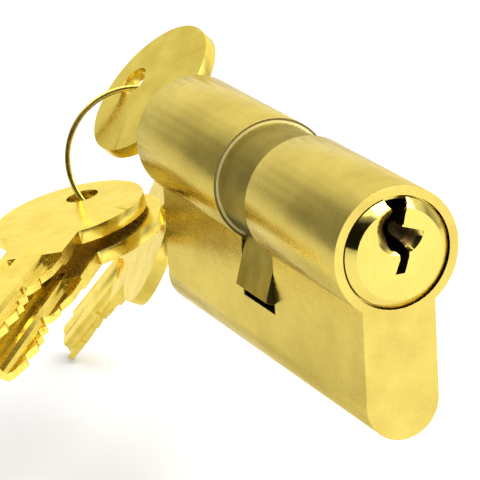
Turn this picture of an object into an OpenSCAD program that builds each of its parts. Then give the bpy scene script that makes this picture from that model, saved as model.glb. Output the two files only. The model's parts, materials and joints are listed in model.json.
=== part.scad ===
// Double euro profile cylinder with a turned key, a key ring and three loose keys.
// The origin is the centre of the fixing-screw hole, Y runs along the barrel with the
// front face towards -Y, and +Z is up.

/* [Housing] */
// Overall length of the housing
housing_len = 64; // [64:1:90]
// Diameter of the round barrel
barrel_d = 17; // [17:0.1:17.4]
// Width of the leg
leg_w = 10; // [9.8:0.1:10]
// Distance from the barrel axis to the underside of the leg
leg_drop = 24.5; // [24.5:0.1:24.6]
// Distance from the barrel axis to the fixing-screw hole
axis_h = 20.5; // [20.5:0.1:20.7]
// Width of the slot the cam turns in
slot_w = 10.1; // [10:0.1:10.3]
// Depth of the slot below the barrel axis
slot_drop = 15; // [14.9:0.1:15.2]
// Tapping diameter of the M5 fixing-screw hole
screw_d = 4.2; // [4.2:0.05:4.3]
// Depth of the fixing-screw hole
screw_depth = 8; // [7:0.5:9]

/* [Plugs] */
// Diameter of the plug body
plug_d = 13; // [12.8:0.1:13]
// Diameter of the plug's head at the face
head_d = 14.1; // [14:0.1:14.2]
// Diameter of the flat face inside the bevel
face_d = 11.7; // [11:0.1:12]
// Height of the head above the housing's end
head_rise = 0.8; // [0.5:0.1:1]

/* [Keys and pins] */
// Turn of the key in the rear plug from upright
key_turn = 46; // [0:1:180]
// Distance from the cam's centre to the outermost pin
pin_first = 26; // [25:0.25:26]
// Distance between pins
pin_pitch = 3.75; // [3.6:0.05:3.8]
// Diameter of the pins
pin_d = 2.8; // [2.6:0.1:2.8]
// Length of a driver pin
driver_len = 5.5; // [5:0.1:6]
// Thickness of a key's bow
bow_t = 2; // [1.8:0.1:2.2]
// Diameter of a key's bow
bow_d = 22.3; // [20:0.1:23]

/* [Cam] */
// Outer diameter of the cam's ring
cam_d = 15.6; // [15:0.1:16]
// Reach of the tongue from the barrel axis
tongue_r = 14.6; // [14:0.1:14.7]
// Thickness of the tongue
tongue_t = 4.6; // [4:0.1:5]
// Width of the tongue along the barrel
tongue_w = 9.7; // [9:0.1:9.8]
// Angle of the tongue from the plugs' upright when a key is withdrawn
cam_offset = 30; // [0:1:30]

/* [Key ring] */
// Mean radius of the ring
ring_r = 10.2; // [9.5:0.1:11]
// Diameter of the ring's wire
wire_d = 0.8; // [0.7:0.1:0.9]

/* [Hidden] */
$fn = 64;
half = housing_len / 2;
fit = 0.05;                       // running clearance on the radius
bore_r = plug_d / 2 + fit;
hole_r = pin_d / 2 + fit;         // pin chambers in the plugs and the housing
counter_d = head_d + 0.5;         // counterbore round the plug's head
counter_depth = 1.2;
plug_end = 3.6;                   // inner end of a plug, from the cam's centre
face_y = half + head_rise;        // outer face of a plug
clip_y = 4.25;                    // retaining ring, between the cam and the housing
clip_t = 0.7;
clip_groove_d = 11.2;
ear_w = 2.3;                      // ears of the clutch
ear_r = 5.2;
core_r = 4.5;
coupler_len = 5.3;
coupler_seat = 1.2;                // pocket for the clutch spring in each coupler
front_coupler_y = plug_end + 0.1; // inner faces, from the cam's centre: the front coupler is
rear_coupler_y = 1;               // pushed out of the cam, and the rear one drives it
pins = [1:5];
cuts = [-0.8, 0.4, -0.2, -1.4, -0.9];   // height of each cut above the barrel axis
blade_low = -2.3;                 // edges of the blade before it is cut
blade_high = 6.2;
cut_flat = 0.6;                   // half the flat at the bottom of a cut
key_tip = 6.35;
pin_stop = 1.05;                  // height a key pin reaches in an empty keyway
pin_low = 6.3;                    // lower end of a key pin at the shear line
driver_top = 6.55;                // upper end of a driver at the shear line
plug_t = 2.1;                     // plugs that close the pin chambers
coil_wire = 0.35;
coil_r = 1;
bow_mid = 2.55;                   // the bow's middle above the barrel axis
bow_end = 61.7;                   // far end of the bow from the cam's centre
neck_end = 42;                    // where the neck has run into the bow
bow_hole = [56, 2.2];             // hole for the ring: along the key, above the axis
bow_hole_r = 2.4;
hang = bow_hole[1] - 0.4;         // the ring's wire rests a little below the hole's centre
ring_turn = [-17.6, 0, -22.8];
ring_hang = 3;
// Outline of the keyway, x across and z up, open at the top
keyway = [
    [1.6, 7.4], [1.5, 6.3], [1.1, 5.6], [0.9, 4.7], [0.7, 3.7], [-0.6, 3.45],
    [-0.7, 2.75], [-0.3, 2.2], [0.4, 1.6], [0.9, 0.9], [1.3, 0.1], [1.3, -0.4],
    [0.95, -1.5], [0.6, -2.5], [-0.7, -2.5], [-0.3, -1.5], [0.05, -0.7], [0, -0.1],
    [-0.4, 0.3], [-1.1, 0.6], [-1.35, 1.2], [-1.4, 2.3], [-1.75, 3], [-1.8, 3.8],
    [-1.3, 4.4], [-0.75, 4.6], [-0.45, 5.1], [-0.5, 5.5], [-1.2, 6.3], [-1.6, 7.4]
];
// Section of the blade, which follows the keyway 0.1 inside it
blade = [
    [1.35, 6.2], [1, 5.6], [0.8, 4.7], [0.6, 3.8], [-0.7, 3.55], [-0.8, 2.7],
    [-0.38, 2.1], [0.3, 1.5], [0.8, 0.84], [1.2, 0.08], [1.2, -0.4], [0.85, -1.5],
    [0.55, -2.3], [-0.5, -2.3], [-0.2, -1.5], [0.15, -0.7], [0.1, -0.05], [-0.34, 0.4],
    [-1.03, 0.7], [-1.25, 1.22], [-1.3, 2.33], [-1.65, 3.03], [-1.7, 3.75],
    [-1.24, 4.3], [-0.7, 4.5], [-0.35, 5.08], [-0.4, 5.45], [-1.05, 6.2]
];
// Where each loose key's hole lies on the ring, and its pitch, roll and heading
loose_keys = [
    [[-8.64, 54.83, -14.33], [4.4, -10.6, -39.1]],
    [[-6.34, 53.03, -16.76], [7.7, -14.2, -39.7]],
    [[2.11, 49.25, -17.43], [37, 60, -177]]
];

function pin_y(i) = pin_first - (i - 1) * pin_pitch;
// Length of the key pin that brings cut i to the shear line
function key_pin_len(i) = cuts[i - 1] + pin_low - 0.03;
// Top of the ridge between cut i and cut i + 1
function ridge(i) = let (a = cuts[i - 1], b = cuts[i], gap = pin_pitch / 2 - cut_flat)
    [pin_y(i) - pin_pitch / 2 + (b - a) / 2, (a + b) / 2 - gap];

// Everything is drawn about the barrel axis and then lifted to it
module about_axis() translate([0, 0, axis_h]) children();
// A thing drawn in the front half, moved to the rear half and turned with the key
module rear_half(turn = key_turn) about_axis() rotate([0, turn, 0]) rotate([0, 0, 180]) children();
// A disc or tube along Y between two distances from the cam's centre, in the front half
module disc_y(r, from, to) translate([0, -from, 0]) rotate([90, 0, 0]) cylinder(r = r, h = to - from);
// An outline in x and z, drawn out along Y in the front half
module bar_y(outline, from, to)
    translate([0, -from, 0]) rotate([90, 0, 0]) linear_extrude(to - from) polygon(outline);
// An outline in distance along the key and height, drawn out across the key
module bar_x(outline, t)
    translate([-t / 2, 0, 0]) rotate([90, 0, 90]) linear_extrude(t)
        polygon([for (p = outline) [-p[0], p[1]]]);

module leg_shape(grow = 0) {
    translate([-leg_w / 2, -half - grow, -leg_drop + leg_w / 2])
        cube([leg_w, housing_len + 2 * grow, leg_drop - leg_w / 2]);
    translate([0, 0, -leg_drop + leg_w / 2]) disc_y(leg_w / 2, -half - grow, half + grow);
}

module housing() color("gold") about_axis() difference() {
    union() {
        disc_y(barrel_d / 2, -half, half);
        leg_shape();
    }
    disc_y(bore_r, -half - 1, half + 1);
    disc_y(counter_d / 2, half - counter_depth, half + 1);
    disc_y(counter_d / 2, -half - 1, -half + counter_depth);
    translate([-barrel_d, -slot_w / 2, -slot_drop])
        cube([2 * barrel_d, slot_w, slot_drop + barrel_d]);
    for (side = [-1, 1], i = pins)
        translate([0, side * pin_y(i), -leg_drop - 1]) cylinder(r = hole_r, h = leg_drop - 4);
    translate([leg_w / 2 - screw_depth, 0, -axis_h]) rotate([0, 90, 0])
        cylinder(d = screw_d, h = screw_depth + 1);
}

module ears(r, w, from, to)
    translate([-r, -to, -w / 2]) cube([2 * r, to - from, w]);

module key_guide() intersection() {
    translate([0.2, -face_y - 0.01, 3.1]) rotate([-90, 0, 0]) cylinder(r1 = 3.3, r2 = 0.3, h = 2);
    difference() {
        translate([-5, -face_y - 1, -2]) cube([10, 3, 10]);
        translate([0.45, -face_y - 2, 3.5]) rotate([0, 19, 0]) cube([6, 5, 6]);
    }
}

module plug() difference() {
    rotate([90, 0, 0]) rotate_extrude() polygon([
        [0, plug_end], [plug_d / 2, plug_end],
        [plug_d / 2, clip_y - 0.05], [clip_groove_d / 2, clip_y - 0.05],
        [clip_groove_d / 2, clip_y + clip_t + 0.05], [plug_d / 2, clip_y + clip_t + 0.05],
        [plug_d / 2, half - counter_depth + 0.05], [head_d / 2, half - counter_depth + 0.05],
        [head_d / 2, half - 0.1], [face_d / 2, face_y], [0, face_y]
    ]);
    bar_y(keyway, plug_end - 1, face_y + 1);
    key_guide();
    disc_y(core_r + fit, plug_end - 1, plug_end + coupler_len + 0.2);
    ears(ear_r + fit, ear_w + 2 * fit, plug_end - 1, plug_end + coupler_len + 0.2);
    for (i = pins) translate([0, -pin_y(i), -plug_d])
        cylinder(r = hole_r, h = plug_d + pin_stop + 0.05);
}

module circlip() difference() {
    disc_y(6.9, clip_y, clip_y + clip_t);
    disc_y(clip_groove_d / 2 + 0.02, clip_y - 1, clip_y + clip_t + 1);
    translate([-2.6, -clip_y - clip_t - 1, 2]) cube([5.2, clip_t + 2, 6]);
}

module cam() color("darkolivegreen") about_axis() rotate([0, key_turn, 0]) difference() {
    union() {
        disc_y(cam_d / 2, -4.95, 4.95);
        rotate([0, -cam_offset, 0]) intersection() {
            translate([-tongue_t / 2, -tongue_w / 2, -tongue_r]) cube([tongue_t, tongue_w, tongue_r - 5]);
            disc_y(tongue_r, -tongue_w / 2, tongue_w / 2);
        }
    }
    disc_y(core_r + fit, -6, 6);
    ears(ear_r + fit, ear_w + 2 * fit, -6, 6);
    for (side = [-1, 1]) {
        disc_y(plug_d / 2 + 0.06, side > 0 ? plug_end - 0.1 : -6, side > 0 ? 6 : -plug_end + 0.1);
        disc_y(7.25, side > 0 ? clip_y - 0.15 : -6, side > 0 ? 6 : -clip_y + 0.15);
    }
}

// Coupler of the clutch, drawn in the front half from its inner face outwards
module coupler(inner) difference() {
    union() {
        disc_y(core_r, inner, inner + coupler_len);
        ears(ear_r, ear_w, inner, inner + coupler_len);
    }
    disc_y(2.9, inner - 1, inner + coupler_seat);
}

// Height of the wire's middle after t turns of a spring whose two end turns are closed
function coil_rise(t, turns, h, wire) = let (lead = 1.2 * wire)
    t < 1 ? wire / 2 + lead * t
    : t > turns - 1 ? h - wire / 2 - lead * (turns - t)
    : wire / 2 + lead + (h - wire - 2 * lead) * (t - 1) / (turns - 2);
// A compression spring standing on z = 0, swept as a six-sided wire
module coil(r, wire, h, turns) {
    steps = 10;
    sides = 6;
    last = turns * steps;
    polyhedron(
        [for (i = [0:last], j = [0:sides - 1])
            let (turn = 360 * i / steps, q = r + wire / 2 * cos(360 * j / sides))
            [q * cos(turn), q * sin(turn),
             coil_rise(i / steps, turns, h, wire) + wire / 2 * sin(360 * j / sides)]],
        concat(
            [[for (j = [sides - 1:-1:0]) j]],
            [for (i = [0:last - 1], j = [0:sides - 1], second = [0, 1])
                let (k = (j + 1) % sides, a = i * sides)
                second ? [a + j, a + k, a + sides + k] : [a + j, a + sides + k, a + sides + j]],
            [[for (j = [0:sides - 1]) last * sides + j]]
        ));
}

// Spring that pushes the two couplers apart
module clutch_spring() color("lightgray") about_axis()
    translate([0, rear_coupler_y + coupler_seat - 0.05, 0]) rotate([90, 0, 0])
        coil(2.3, 0.4, rear_coupler_y + front_coupler_y + 2 * coupler_seat - 0.1, 5);

module key_blade() intersection() {
    bar_y(blade, key_tip, 35);
    bar_x(concat(
        [[36, blade_high], [36, blade_low], [pin_y(1) + cut_flat + cuts[0] - blade_low, blade_low]],
        [for (i = pins) each concat(
            [[pin_y(i) + cut_flat, cuts[i - 1]], [pin_y(i) - cut_flat, cuts[i - 1]]],
            i < 5 ? [ridge(i)] : [])],
        [[pin_y(5) - cut_flat - cuts[4] + blade_low, blade_low], [key_tip + 2.2, blade_low],
         [key_tip, -0.1], [key_tip, blade_high - 1], [key_tip + 1, blade_high]]
    ), 6);
}

// A whole key as it lies in the front plug
module key_solid() {
    key_blade();
    difference() {
        union() {
            translate([-bow_t / 2, bow_d / 2 - bow_end, bow_mid]) rotate([0, 90, 0])
                cylinder(d = bow_d, h = bow_t);
            translate([-bow_t / 2, -neck_end, blade_low])
                cube([bow_t, neck_end - face_y - 0.05, 9.7]);
        }
        translate([-bow_t, -bow_hole[0], bow_hole[1]]) rotate([0, 90, 0])
            cylinder(r = bow_hole_r, h = 2 * bow_t);
    }
}

// Two turns of wire side by side, hanging from the hole in the turned key's bow
module key_ring() color("goldenrod") about_axis()
    translate(concat(hang * sin(key_turn), bow_hole[0], hang * cos(key_turn)))
        rotate(ring_turn) rotate([0, ring_hang, 0]) translate([0, 0, -ring_r])
            rotate([90, 0, 0]) for (side = [-1, 1])
                translate([0, 0, side * 0.3])
                    rotate_extrude() translate([ring_r, 0]) circle(d = wire_d, $fn = 24);

module loose_key(k) color("khaki") about_axis()
    translate(loose_keys[k - 1][0])
        rotate([0, 0, loose_keys[k - 1][1][2]]) rotate([loose_keys[k - 1][1][0], 0, 0])
            rotate([0, loose_keys[k - 1][1][1] - 90, 0]) rotate([0, 0, 180])
                translate([0, bow_hole[0], -bow_hole[1]]) key_solid();

module key_pin(i, top) translate([0, -pin_y(i), top - key_pin_len(i)]) {
    cylinder(d = pin_d, h = key_pin_len(i) - 0.9);
    translate([0, 0, key_pin_len(i) - 0.9]) cylinder(r1 = pin_d / 2, r2 = 0.5, h = 0.9);
}

module front_key_pin(i) color("goldenrod") about_axis() key_pin(i, pin_stop);
module rear_key_pin(i) color("goldenrod") rear_half() key_pin(i, cuts[i - 1] - 0.03);

// The front drivers stand on their key pins' travel, the rear ones under the turned plug
function front_driver_top(i) = pin_stop - key_pin_len(i) - 0.02;
module driver(y, top) about_axis() translate([0, y, top - driver_len]) cylinder(d = pin_d, h = driver_len);
module front_driver_pin(i) color("silver") driver(-pin_y(i), front_driver_top(i));
module rear_driver_pin(i) color("silver") driver(pin_y(i), -driver_top);

module spring(y, top) about_axis() translate([0, y, -leg_drop + plug_t + 0.25])
    coil(coil_r, coil_wire, top + leg_drop - plug_t - 0.35, 7);
module front_spring(i) color("lightgray") spring(-pin_y(i), front_driver_top(i) - driver_len);
module rear_spring(i) color("lightgray") spring(pin_y(i), -driver_top - driver_len);

module chamber_plugs(side) color("gold") about_axis() intersection() {
    leg_shape();
    for (i = pins) translate([0, side * pin_y(i), -leg_drop - 1]) cylinder(r = hole_r, h = plug_t + 1);
}

housing();
color("gold") about_axis() plug();  // front_plug
color("gold") rear_half() plug();  // rear_plug
color("dimgray") about_axis() circlip();  // front_circlip
color("dimgray") rear_half() circlip();  // rear_circlip
cam();
color("silver") about_axis() coupler(front_coupler_y);  // front_coupler
color("silver") rear_half() coupler(rear_coupler_y);  // rear_coupler
clutch_spring();
chamber_plugs(-1);  // front_chamber_plugs
chamber_plugs(1);  // rear_chamber_plugs
color("khaki") rear_half() key_solid();  // key
key_ring();
for (i = [1:3]) loose_key(i);
for (i = pins) {
    front_key_pin(i);
    front_driver_pin(i);
    front_spring(i);
    rear_key_pin(i);
    rear_driver_pin(i);
    rear_spring(i);
}
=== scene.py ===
"""Double euro profile cylinder with a turned key, a key ring and three loose keys."""
import json
import math

import bmesh
import bpy
from mathutils import Euler, Matrix, Vector


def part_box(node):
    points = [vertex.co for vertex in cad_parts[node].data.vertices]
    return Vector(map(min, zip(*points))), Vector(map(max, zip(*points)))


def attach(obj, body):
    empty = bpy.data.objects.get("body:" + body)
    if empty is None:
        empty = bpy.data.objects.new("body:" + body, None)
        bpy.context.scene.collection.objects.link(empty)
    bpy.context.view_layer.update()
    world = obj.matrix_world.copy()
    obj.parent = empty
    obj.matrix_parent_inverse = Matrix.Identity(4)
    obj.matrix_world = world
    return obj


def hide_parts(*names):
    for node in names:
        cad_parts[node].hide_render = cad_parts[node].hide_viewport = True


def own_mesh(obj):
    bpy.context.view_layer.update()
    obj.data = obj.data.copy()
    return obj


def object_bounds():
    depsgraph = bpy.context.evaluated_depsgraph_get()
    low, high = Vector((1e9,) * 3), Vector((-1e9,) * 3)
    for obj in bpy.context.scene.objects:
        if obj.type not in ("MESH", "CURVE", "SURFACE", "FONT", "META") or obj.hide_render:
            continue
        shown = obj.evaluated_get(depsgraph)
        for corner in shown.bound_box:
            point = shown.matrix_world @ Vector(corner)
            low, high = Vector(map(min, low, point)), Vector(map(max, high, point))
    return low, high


MM = 0.001
AXIS_Z = 20.5 * MM                 # height of the barrel axis above the fixing-screw hole
FACE_Y = 32.8 * MM                 # a plug's face, from the middle
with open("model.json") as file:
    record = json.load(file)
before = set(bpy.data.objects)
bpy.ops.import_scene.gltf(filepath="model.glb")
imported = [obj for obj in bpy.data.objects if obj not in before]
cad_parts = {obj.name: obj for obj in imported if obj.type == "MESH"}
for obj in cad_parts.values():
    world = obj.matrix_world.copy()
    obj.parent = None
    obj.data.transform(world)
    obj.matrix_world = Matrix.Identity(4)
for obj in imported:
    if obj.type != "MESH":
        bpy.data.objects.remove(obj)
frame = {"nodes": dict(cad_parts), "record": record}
cad_box = [list(corner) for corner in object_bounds()]
nodes = frame["nodes"]
scene = bpy.context.scene


# ---------------------------------------------------------------- shader helpers
def new_material(name):
    """An empty node material, and its Principled shader."""
    mat = bpy.data.materials.new(name)
    mat.use_nodes = True
    return mat, mat.node_tree, mat.node_tree.nodes["Principled BSDF"]


def node(tree, kind, **inputs):
    """A shader node, with values or links for its inputs by name."""
    made = tree.nodes.new(kind)
    for key, value in inputs.items():
        connect(tree, made.inputs[key.replace("_", " ")], value)
    return made


def connect(tree, socket, value):
    """Links a value that comes from another node, or sets a plain one."""
    if isinstance(value, bpy.types.NodeSocket):
        tree.links.new(value, socket)
    else:
        socket.default_value = value


def math_node(tree, operation, first, second=0.0):
    """The result of a sum on one or two values."""
    made = tree.nodes.new("ShaderNodeMath")
    made.operation = operation
    connect(tree, made.inputs[0], first)
    connect(tree, made.inputs[1], second)
    return made.outputs[0]


def ramp(tree, fac, stops):
    """A colour ramp of (position, colour or brightness) stops."""
    made = tree.nodes.new("ShaderNodeValToRGB")
    elements = made.color_ramp.elements
    while len(elements) < len(stops):
        elements.new(0.5)
    for element, (place, colour) in zip(elements, stops):
        element.position = place
        element.color = (*colour, 1) if isinstance(colour, tuple) else (colour,) * 3 + (1,)
    connect(tree, made.inputs["Fac"], fac)
    return made.outputs["Color"]


def blend_colours(tree, kind, amount, first, second):
    """Two colours mixed, multiplied or compared."""
    mix = tree.nodes.new("ShaderNodeMix")
    mix.data_type, mix.blend_type = "RGBA", kind
    connect(tree, mix.inputs[0], amount)
    connect(tree, mix.inputs[6], first)
    connect(tree, mix.inputs[7], second)
    return mix.outputs[2]


def step(tree, value, low, high):
    """0 below low and 1 above high, for a length or angle."""
    span = node(tree, "ShaderNodeMapRange", Value=value, From_Min=low, From_Max=high)
    span.interpolation_type = "SMOOTHSTEP"
    return span.outputs["Result"]


def below(tree, value, low, high):
    """1 below low and 0 above high."""
    return math_node(tree, "SUBTRACT", 1.0, step(tree, value, low, high))


# ---------------------------------------------------------------- materials
NEAR_BLACK_SHADE = (0.030, 0.022, 0.008, 1)       # near-black painted shade in the recesses
# brown painted shade just inside the keyway
BROWN_KEYWAY_SHADE = (0.095, 0.052, 0.018, 1)
# pale painted highlight on the annular walls at the cam slot
PAINTED_LIP_HIGHLIGHT = (0.88, 0.82, 0.42, 1)
# dark painted reflection band round that highlight
PAINTED_RIM_DARK_BAND = (0.24, 0.185, 0.06, 1)


class Metal:
    def __init__(self, name, light, dark, rough, drift=160):
        self.mat, self.tree, self.shader = new_material(name)
        self.shader.inputs["Metallic"].default_value = 1
        self.shader.inputs["Specular Tint"].default_value = (1, 0.93, 0.62, 1)
        coords = node(self.tree, "ShaderNodeTexCoord")
        self.place, self.normal = coords.outputs["Object"], coords.outputs["Normal"]
        blotch = node(self.tree, "ShaderNodeTexNoise", Vector=self.place, Scale=drift,
                      Detail=4, Roughness=0.6)
        self.tone = ramp(self.tree, blotch.outputs["Fac"], [(0.35, dark), (0.65, light)])
        self.rough = rough
        self.heights = []

    def grain(self, stretch, scale, spread, depth, mask=1.0):
        """Brushing: noise stretched along the axes whose stretch is low."""
        t = self.tree
        space = node(t, "ShaderNodeMapping", Vector=self.place, Scale=stretch)
        noise = node(t, "ShaderNodeTexNoise", Vector=space.outputs["Vector"], Scale=scale,
                     Detail=5, Roughness=0.65).outputs["Fac"]
        centred = math_node(t, "MULTIPLY", math_node(t, "SUBTRACT", noise, 0.5), mask)
        self.rough = math_node(t, "ADD", self.rough, math_node(t, "MULTIPLY", centred, 4 * spread))
        self.heights.append(math_node(t, "MULTIPLY", centred, depth))
        return noise

    def facing(self, axis, low, high):
        """1 where the surface faces along an axis, either way."""
        part = node(self.tree, "ShaderNodeSeparateXYZ", Vector=self.normal).outputs[axis]
        return step(self.tree, math_node(self.tree, "ABSOLUTE", part), low, high)

    def coordinate(self, axis, shift=0.0):
        """Distance from a plane across an axis."""
        part = node(self.tree, "ShaderNodeSeparateXYZ", Vector=self.place).outputs[axis]
        return math_node(self.tree, "ABSOLUTE", math_node(self.tree, "SUBTRACT", part, shift))

    def radius(self):
        """Distance from the barrel axis."""
        t = self.tree
        spoke = node(t, "ShaderNodeVectorMath", Vector=self.place)
        spoke.operation = "MULTIPLY_ADD"
        spoke.inputs[1].default_value = (1, 0, 1)
        spoke.inputs[2].default_value = (0, 0, -AXIS_Z)
        length = t.nodes.new("ShaderNodeVectorMath")
        length.operation = "LENGTH"
        t.links.new(spoke.outputs[0], length.inputs[0])
        return length.outputs["Value"]

    def within(self, mask, limits):
        """mask, cut off past each (distance, low, high) limit in millimetres."""
        for distance, low, high in limits:
            mask = math_node(self.tree, "MULTIPLY", mask,
                             below(self.tree, distance, low * MM, high * MM))
        return mask

    def paint_tone_and_shading(self, mask, colour=NEAR_BLACK_SHADE):
        """Recolours the metal where mask is 1, and dulls it: painted shade and highlights, and
        once a darker tone.
        """
        self.tone = blend_colours(self.tree, "MIX", mask, self.tone, colour)
        self.rough = math_node(self.tree, "ADD", self.rough,
                               math_node(self.tree, "MULTIPLY", mask, 0.25))

    def finish(self):
        """Joins everything to the shader."""
        t = self.tree
        t.links.new(self.tone, self.shader.inputs["Base Color"])
        connect(t, self.shader.inputs["Roughness"], self.rough)
        total = self.heights[0]
        for other in self.heights[1:]:
            total = math_node(t, "ADD", total, other)
        relief = node(t, "ShaderNodeBump", Height=total, Distance=MM, Strength=1.0)
        t.links.new(relief.outputs["Normal"], self.shader.inputs["Normal"])
        return self.mat


BRASS = (0.565, 0.44, 0.100)
BRASS_DARK = (0.48, 0.365, 0.080)


def body_brass():
    """Drawn brass bar: fine lines along the barrel, and the ends faced with upright lines."""
    m = Metal("body_brass", BRASS, BRASS_DARK, 0.25)
    end = m.facing("Y", 0.90, 0.97)
    side = math_node(m.tree, "SUBTRACT", 1.0, end)
    m.grain((12, 0.6, 12), 420, 0.05, 0.003, side)
    m.grain((1, 1, 1), 2200, 0.04, 0.002)
    m.grain((14, 1, 0.7), 420, 0.06, 0.003, end)
    # painted shade on the walls of the cam slot, inside the leg: near-black
    slot = m.within(1.0, [(m.coordinate("X"), 4.75, 4.9), (m.coordinate("Y"), 5.06, 5.12),
                          (m.coordinate("Z", 9 * MM), 3.8, 5)])
    m.paint_tone_and_shading(slot)
    # the barrel's two annular walls at the slot: a pale painted highlight with a dark painted
    # reflection band round its outer edge
    radius = m.radius()
    lip = m.within(m.facing("Y", 0.75, 0.9),
                   [(m.coordinate("Y"), 5.26, 5.30), (radius, 8.50, 8.56)])
    m.paint_tone_and_shading(lip, PAINTED_LIP_HIGHLIGHT)
    rim = step(m.tree, radius, 8.10 * MM, 8.22 * MM)
    m.paint_tone_and_shading(math_node(m.tree, "MULTIPLY", lip, rim), PAINTED_RIM_DARK_BAND)
    return m.finish()


def plug_brass():
    """Turned plug: brushed face, bright polished bevel, and painted shade inside the keyway, brown
    near the face and near-black deeper in.
    """
    m = Metal("plug_brass", (0.60, 0.49, 0.115), BRASS, 0.10)
    t = m.tree
    face = m.facing("Y", 0.86, 0.96)
    m.rough = math_node(t, "ADD", m.rough, math_node(t, "MULTIPLY", face, 0.16))
    m.grain((14, 1, 0.7), 420, 0.06, 0.003, face)
    m.grain((1, 1, 1), 2600, 0.02, 0.001)
    y = m.coordinate("Y")
    inside = below(t, m.radius(), 5.7 * MM, 5.85 * MM)
    shallow = below(t, y, FACE_Y - 0.75 * MM, FACE_Y - 0.12 * MM)
    deep = below(t, y, FACE_Y - 1.1 * MM, FACE_Y - 0.95 * MM)
    # painted shade inside the keyway: brown near the face, near-black deeper in
    m.paint_tone_and_shading(math_node(t, "MULTIPLY", inside, shallow), BROWN_KEYWAY_SHADE)
    m.paint_tone_and_shading(deep)
    return m.finish()


def simple_metal(name, light, dark, rough, stretch=(1, 1, 1)):
    """A metal with one fine grain."""
    m = Metal(name, light, dark, rough)
    m.grain(stretch, 1500, 0.05, 0.002)
    return m.finish()


def cam_alloy():
    """Pressed and sintered, yellow passivated: fine pits; painted shade on the sides and low on
    the ring by the leg, and the ring a darker tone than the tongue.
    """
    m = Metal("cam_alloy", (0.39, 0.305, 0.062), (0.26, 0.20, 0.038), 0.36, drift=260)
    m.grain((1, 1, 1), 1500, 0.08, 0.008)
    m.grain((1, 1, 1), 5000, 0.05, 0.004)
    # painted shade: the sides that face along the barrel, near-black
    m.paint_tone_and_shading(m.facing("Y", 0.80, 0.95), (0.05, 0.038, 0.012, 1))
    ring = below(m.tree, m.radius(), 7.85 * MM, 7.95 * MM)
    m.paint_tone_and_shading(math_node(m.tree, "MULTIPLY", ring, 0.5), (0.16, 0.12, 0.035, 1))
    # painted shade on the ring, in a band round 14 mm up beside the leg, near-black
    root = below(m.tree, m.coordinate("Z", 14.0 * MM), 2.2 * MM, 4.2 * MM)
    m.paint_tone_and_shading(math_node(m.tree, "MULTIPLY", root, ring), (0.07, 0.052, 0.018, 1))
    return m.finish()


def key_brass():
    """Tumbled key blank: soft cloudy finish with a few fine scratches along the key."""
    m = Metal("key_brass", (0.78, 0.62, 0.125), (0.68, 0.51, 0.085), 0.24, drift=260)
    m.grain((1, 1, 1), 900, 0.06, 0.006)
    m.grain((1, 9, 9), 500, 0.05, 0.003)
    return m.finish()


materials = {
    "body_brass": body_brass(),
    "plug_brass": plug_brass(),
    "key_brass": key_brass(),
    "cam_alloy": cam_alloy(),
    "pin_brass": simple_metal("pin_brass", BRASS, BRASS_DARK, 0.2, (1, 1, 12)),
    "ring_brass": simple_metal("ring_brass", (0.80, 0.62, 0.14), (0.66, 0.50, 0.09), 0.24),
    "bright_steel": simple_metal("bright_steel", (0.62, 0.62, 0.61), (0.5, 0.5, 0.5), 0.22,
                                 (1, 1, 12)),
    "spring_steel": simple_metal("spring_steel", (0.5, 0.5, 0.5), (0.38, 0.38, 0.38), 0.28),
}
slots = {part["node"]: part["material_slot"] for part in frame["record"]["subparts"]}
for name, piece in nodes.items():
    piece.data.materials.clear()
    piece.data.materials.append(materials[slots[name]])


# ---------------------------------------------------------------- edges of the CAD nodes
SHARP = math.radians(32)              # edges at least this sharp are broken


def round_edges(name, width):
    """Breaks the sharp edges of a CAD node."""
    weld = nodes[name].modifiers.new("weld", "WELD")
    weld.merge_threshold = 0.002 * MM
    bevel = nodes[name].modifiers.new("edges", "BEVEL")
    bevel.width = width * MM
    bevel.segments = 3
    bevel.limit_method = "ANGLE"
    bevel.angle_limit = SHARP
    bevel.harden_normals = True


EDGE = {"housing": 0.20, "front_plug": 0.06, "rear_plug": 0.06, "cam": 0.18, "key": 0.16,
        "loose_key_1": 0.16, "loose_key_2": 0.16, "loose_key_3": 0.16}
for name, width in EDGE.items():
    round_edges(name, width)


# ---------------------------------------------------------------- pieces
def swept(name, sections, mat):
    """A closed tube through rings of points, with flat ends."""
    mesh = bpy.data.meshes.new(name)
    build = bmesh.new()
    rings = [[build.verts.new(p) for p in section] for section in sections]
    count = len(rings[0])
    for one, two in zip(rings, rings[1:]):
        for j in range(count):
            k = (j + 1) % count
            build.faces.new((one[j], one[k], two[k], two[j])).smooth = True
    build.faces.new(rings[0][::-1])
    build.faces.new(rings[-1])
    bmesh.ops.recalc_face_normals(build, faces=build.faces)
    build.to_mesh(mesh)
    build.free()
    mesh.materials.append(mat)
    made = bpy.data.objects.new(name, mesh)
    scene.collection.objects.link(made)
    return made


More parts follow.
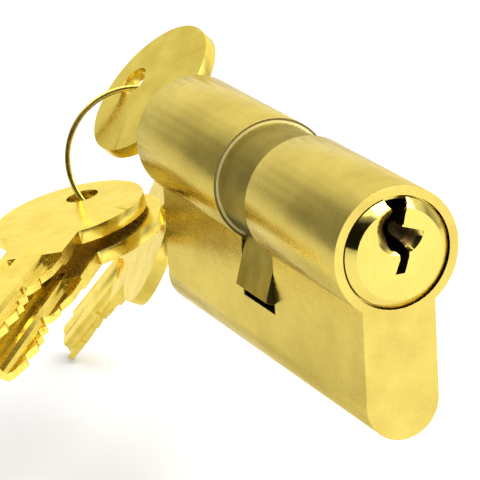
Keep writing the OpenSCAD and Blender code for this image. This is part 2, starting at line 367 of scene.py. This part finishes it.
def split_ring():
    """Two turns of flattened wire that cross over once, with cut ends either side."""
    radius, wire, flat, offset = 10.2 * MM, 0.8 * MM, 0.40 * MM, 0.20 * MM
    crossing, width, gap = 250, 26, 17       # degrees round the ring
    low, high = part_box("key_ring")
    place = Matrix.Translation((low + high) / 2)
    for angle, axis in ((-22.8, "Z"), (-17.6, "X"), (3, "Y"), (90, "X")):
        place = place @ Matrix.Rotation(math.radians(angle), 4, axis)

    def section(angle, scale=1.0):
        along = min(1, max(0, (angle - (360 - width / 2)) / width))
        shift = offset * (2 * (3 * along ** 2 - 2 * along ** 3) - 1)
        a = math.radians(angle + crossing)
        out = Vector((math.cos(a), math.sin(a), 0))
        ring = []
        for j in range(12):
            b = math.tau * j / 12
            r = radius + scale * wire / 2 * math.cos(b)
            z = shift + scale * flat / 2 * math.copysign(abs(math.sin(b)) ** 0.6, math.sin(b))
            ring.append(place @ (out * r + Vector((0, 0, z))))
        return ring

    steps = 216
    span = 720 - 2 * gap
    sections = [section(gap + span * i / steps) for i in range(steps + 1)]
    sections = [section(gap - 0.5, 0.7), *sections, section(720 - gap + 0.5, 0.7)]
    ring = swept("split_ring", sections, materials["ring_brass"])
    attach(ring, "key_ring")
    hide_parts("key_ring")


def screw_thread():
    """The crests of the M5 thread on the wall of the fixing-screw hole."""
    wall, crest, pitch = 2.13 * MM, 1.98 * MM, 0.8 * MM
    half_base, half_tip = 0.3 * MM, 0.04 * MM
    start, end, steps = -2.6 * MM, 4.5 * MM, 28
    turns = (end - start) / pitch
    sections = []
    for i in range(int(turns * steps) + 1):
        a = math.tau * i / steps
        x = start + pitch * i / steps
        fade = min(1, i / 10, (turns * steps - i) / 10 + 0.05)
        tip = wall - (wall - crest) * fade
        out = Vector((0, math.cos(a), math.sin(a)))
        profile = (wall, -half_base), (tip, -half_tip), (tip, half_tip), (wall, half_base)
        sections.append([out * r + Vector((x + dx, 0, 0)) for r, dx in profile])
    thread = swept("screw_thread", sections, materials["body_brass"])
    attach(thread, "housing")


def pin_spring(name):
    """The spring under a pin, closed at both ends."""
    radius, wire, turns, steps, sides = 1 * MM, 0.35 * MM, 7, 20, 8
    low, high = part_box(name)
    foot, height = Vector(((low.x + high.x) / 2, (low.y + high.y) / 2, low.z)), high.z - low.z
    closed = 1.2 * wire                  # rise of each end turn
    sections = []
    for i in range(turns * steps + 1):
        t = i / steps
        if t < 1:
            rise = wire / 2 + closed * t
        elif t > turns - 1:
            rise = height - wire / 2 - closed * (turns - t)
        else:
            rise = wire / 2 + closed + (height - wire - 2 * closed) * (t - 1) / (turns - 2)
        out = Vector((math.cos(math.tau * t), math.sin(math.tau * t), 0))
        sections.append([foot + out * (radius + wire / 2 * math.cos(math.tau * j / sides))
                         + Vector((0, 0, rise + wire / 2 * math.sin(math.tau * j / sides)))
                         for j in range(sides)])
    spring = swept(name + "_coil", sections, materials["spring_steel"])
    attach(spring, "housing")
    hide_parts(name)
    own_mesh(spring)


split_ring()
screw_thread()
for i in range(1, 6):
    for spring, joint in ((f"front_spring_{i}", f"front_stack_{i}_press"),
                          (f"rear_spring_{i}", f"rear_driver_{i}_press")):
        pin_spring(spring)


# ---------------------------------------------------------------- camera
AZIMUTH, ELEVATION, ROLL = (math.radians(a) for a in (-22.79, 17.56, -3.25))
TARGET = Vector((0, 17.3, 8.9)) * MM
DISTANCE = 442.3 * MM
camera = bpy.data.objects.new("camera", bpy.data.cameras.new("camera"))
scene.collection.objects.link(camera)
scene.camera = camera
back = Vector((math.sin(AZIMUTH) * math.cos(ELEVATION),
               -math.cos(AZIMUTH) * math.cos(ELEVATION), math.sin(ELEVATION)))
camera.location = TARGET + back * DISTANCE
aim = back.to_track_quat("Z", "Y") @ Euler((0, 0, ROLL)).to_quaternion()
camera.rotation_euler = aim.to_euler()
camera.data.sensor_width = 36
camera.data.lens = 242.3
camera.data.clip_start = 0.01


# ---------------------------------------------------------------- studio
def studio():
    """A white sweep behind and above, dimmer on the left, and a dark room behind the camera."""
    world = bpy.data.worlds.new("studio")
    scene.world = world
    world.use_nodes = True
    sky = world.node_tree
    direction = node(sky, "ShaderNodeSeparateXYZ",
                     Vector=node(sky, "ShaderNodeTexCoord").outputs["Generated"])

    def falloff(axis, stops):
        """Brightness along one axis of the direction, from -1 to 1."""
        span = node(sky, "ShaderNodeMapRange", Value=direction.outputs[axis], From_Min=-1)
        return ramp(sky, span.outputs["Result"], [((place + 1) / 2, v) for place, v in stops])

    sweep = falloff("X", [(-0.55, 0.30), (-0.02, 1.0)])
    room = blend_colours(sky, "LIGHTEN", 1.0, falloff("Y", [(-0.40, 0.03), (0.10, 1.0)]),
                         falloff("X", [(0.25, 0.0), (0.45, 1.0), (0.85, 1.0), (0.95, 0.2)]))
    overhead = falloff("Z", [(0.55, 0.0), (0.85, 1.25)])
    glow = blend_colours(sky, "LIGHTEN", 1.0,
                         blend_colours(sky, "MULTIPLY", 1.0, sweep, room), overhead)
    sky.links.new(glow, sky.nodes["Background"].inputs["Color"])
    sky.nodes["Background"].inputs["Strength"].default_value = 1.32


def floor_sheet():
    """A plain pale floor just under the lowest point."""
    mesh = bpy.data.meshes.new("floor")
    h = 3                                # half its side, in metres
    mesh.from_pydata([(-h, -h, 0), (h, -h, 0), (h, h, 0), (-h, h, 0)], [], [(0, 1, 2, 3)])
    mat, _, shader = new_material("floor")
    shader.inputs["Base Color"].default_value = (0.64, 0.64, 0.64, 1)
    shader.inputs["Roughness"].default_value = 0.9
    mesh.materials.append(mat)
    made = bpy.data.objects.new("floor", mesh)
    made.location.z = cad_box[0][2] - 0.5 * MM
    scene.collection.objects.link(made)


def area_light(name, place, aim, size, power):
    """A soft square lamp at place, turned towards aim."""
    data = bpy.data.lights.new(name, "AREA")
    data.size = size
    data.energy = power
    made = bpy.data.objects.new(name, data)
    made.location = place
    made.rotation_euler = (Vector(place) - Vector(aim)).to_track_quat("Z", "Y").to_euler()
    scene.collection.objects.link(made)


studio()
floor_sheet()
area_light("front_light", (0.16, -0.30, 0.36), (0.07, -0.18, 0), 0.45, 3.9)
area_light("top_light", (-0.12, -0.17, 0.75), (-0.08, -0.12, 0), 1.0, 4.0)
scene.view_settings.view_transform = "Standard"
